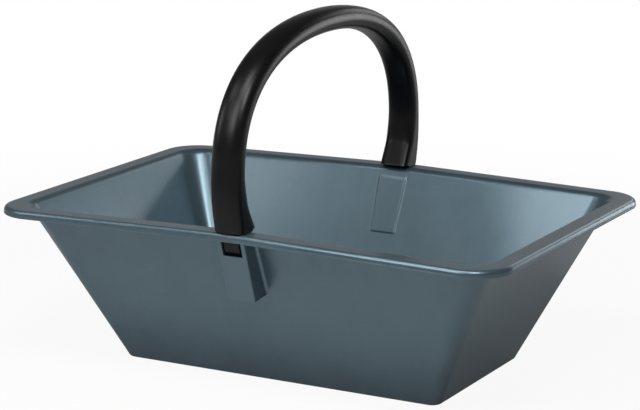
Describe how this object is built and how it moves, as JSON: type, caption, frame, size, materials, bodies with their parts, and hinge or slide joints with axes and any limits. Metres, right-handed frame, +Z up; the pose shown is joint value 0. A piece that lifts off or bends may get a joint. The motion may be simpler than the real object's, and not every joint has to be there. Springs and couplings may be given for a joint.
{
  "type": "harvest basket",
  "caption": "Oblong moulded harvest basket with flared walls, a flanged rim with a turned-down lip, and an arched handle that clips into a socket on each long wall.",
  "frame": {"origin": "on the surface that the basket stands on, under the middle of the base", "axes": "+X along the long side of the rim, +Y from the front to the rear across the basket and along the handle's arch, +Z up"},
  "size_m": [0.5, 0.35, 0.3234],
  "materials": {
    "tub_plastic": "grey-blue polypropylene with a metallic pigment, satin, fine moulding grain",
    "handle_plastic": "black polypropylene, satin"
  },
  "bodies": {
    "tub": {"tub": "tub_plastic"},
    "handle": {"handle": "handle_plastic", "front_snap_tab": "handle_plastic", "rear_snap_tab": "handle_plastic"}
  },
  "joints": [
    {"name": "handle_lift", "type": "slide", "parent": "tub", "child": "handle", "axis": [0, 0, 1], "range_m": [0, 0.05], "deforming": ["front_snap_tab", "rear_snap_tab"]}
  ]
}
